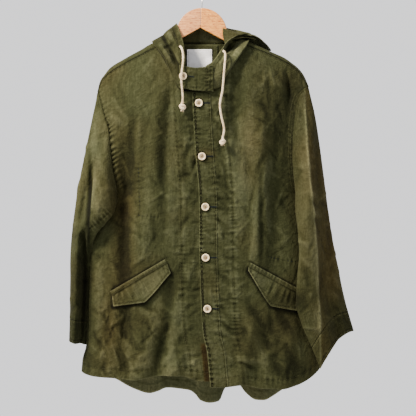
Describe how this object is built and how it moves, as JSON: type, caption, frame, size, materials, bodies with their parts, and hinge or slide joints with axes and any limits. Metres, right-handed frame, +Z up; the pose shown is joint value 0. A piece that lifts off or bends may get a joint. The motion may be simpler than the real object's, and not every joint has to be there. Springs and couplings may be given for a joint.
{
  "type": "hooded linen jacket on a wooden hanger",
  "caption": "Hooded button-front linen jacket with slanted pocket flaps, a throat tab and drawcords, hanging hollow and open from a wooden hanger with a wire hook.",
  "frame": {"origin": "inside of the hook's top, where a rail or a nail carries everything", "axes": "+Z up, -Y the front of the garment, +X towards the wearer's left (the viewer's right)"},
  "size_m": [0.6499, 0.1584, 0.963],
  "materials": {
    "linen": "olive green woven linen, matt, garment-washed",
    "label_cotton": "white woven cotton, blank",
    "button_resin": "cream resin, satin",
    "cord_cotton": "natural cotton, twisted",
    "hanger_wood": "pale beech, satin lacquer",
    "hook_steel": "plated wire"
  },
  "bodies": {
    "root": {"back": "linen", "front_left": "linen", "front_right": "linen", "placket": "linen", "sleeve_left": "linen", "sleeve_right": "linen", "cuff_left": "linen", "cuff_right": "linen", "hood_left": "linen", "hood_right": "linen", "throat_tab": "linen", "pocket_flap_left": "linen", "pocket_flap_right": "linen", "pocket_welt_left": "linen", "pocket_welt_right": "linen", "neck_facing": "linen", "label": "label_cotton", "button_1": "button_resin", "button_2": "button_resin", "button_3": "button_resin", "button_4": "button_resin", "button_5": "button_resin", "button_throat": "button_resin", "drawcord_left": "cord_cotton", "drawcord_right": "cord_cotton", "knot_left": "cord_cotton", "knot_right": "cord_cotton", "hanger": "hanger_wood", "hook": "hook_steel"}
  },
  "joints": []
}
